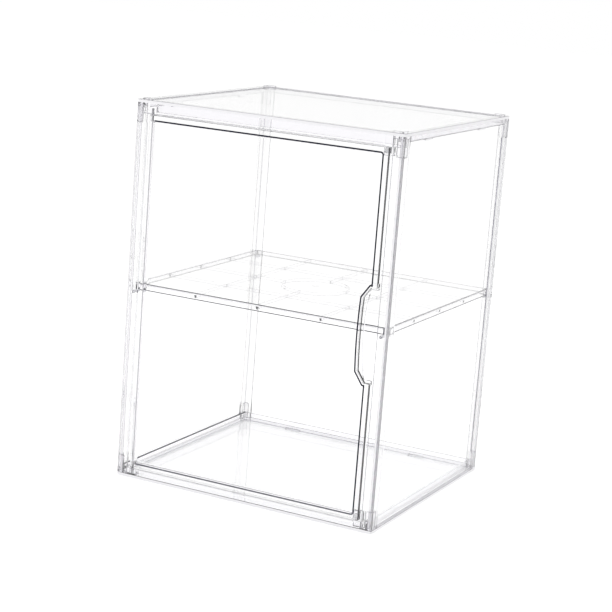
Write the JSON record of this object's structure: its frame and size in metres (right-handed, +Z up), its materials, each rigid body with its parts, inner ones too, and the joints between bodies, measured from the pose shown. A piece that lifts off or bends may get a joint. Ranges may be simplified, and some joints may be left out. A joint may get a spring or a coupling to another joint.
{
  "type": "figure display case",
  "caption": "Clear two-tier display case with a side-hinged, magnet-held front door, a ribbed middle shelf, corner posts, and tray-shaped base and lid.",
  "frame": {"origin": "centre of the overall box on the plane of the underside, where the base stands", "axes": "+Z up, +X to the right seen from the front, and the door faces -Y"},
  "size_m": [0.247, 0.23, 0.3312],
  "materials": {
    "clear_tray": "clear moulded plastic, polished",
    "clear_post": "clear moulded plastic, polished",
    "clear_sheet": "clear sheet, polished both faces",
    "clear_door": "clear moulded plastic, polished",
    "clear_shelf": "clear moulded plastic, polished",
    "clear_peg": "clear moulded plastic",
    "magnet_plating": "nickel plated, bright",
    "pin_steel": "ground steel"
  },
  "bodies": {
    "case": {"base": "clear_tray", "case_magnet_lower": "magnet_plating", "case_magnet_upper": "magnet_plating", "hinge_pin_lower": "pin_steel", "hinge_pin_upper": "pin_steel", "lid": "clear_tray", "panel_back": "clear_sheet", "panel_left": "clear_sheet", "panel_right": "clear_sheet", "post_front_left": "clear_post", "post_front_right": "clear_post", "post_rear_left": "clear_post", "post_rear_right": "clear_post", "shelf": "clear_shelf", "shelf_peg_front_left": "clear_peg", "shelf_peg_front_right": "clear_peg", "shelf_peg_rear_left": "clear_peg", "shelf_peg_rear_right": "clear_peg"},
    "door": {"door": "clear_door", "door_magnet_lower": "magnet_plating", "door_magnet_upper": "magnet_plating"}
  },
  "joints": [
    {"name": "door_hinge", "type": "hinge", "parent": "case", "child": "door", "pos_m": [-0.1084, -0.112, 0.164], "axis": [0, 0, -1], "range_deg": [0, 120]}
  ]
}
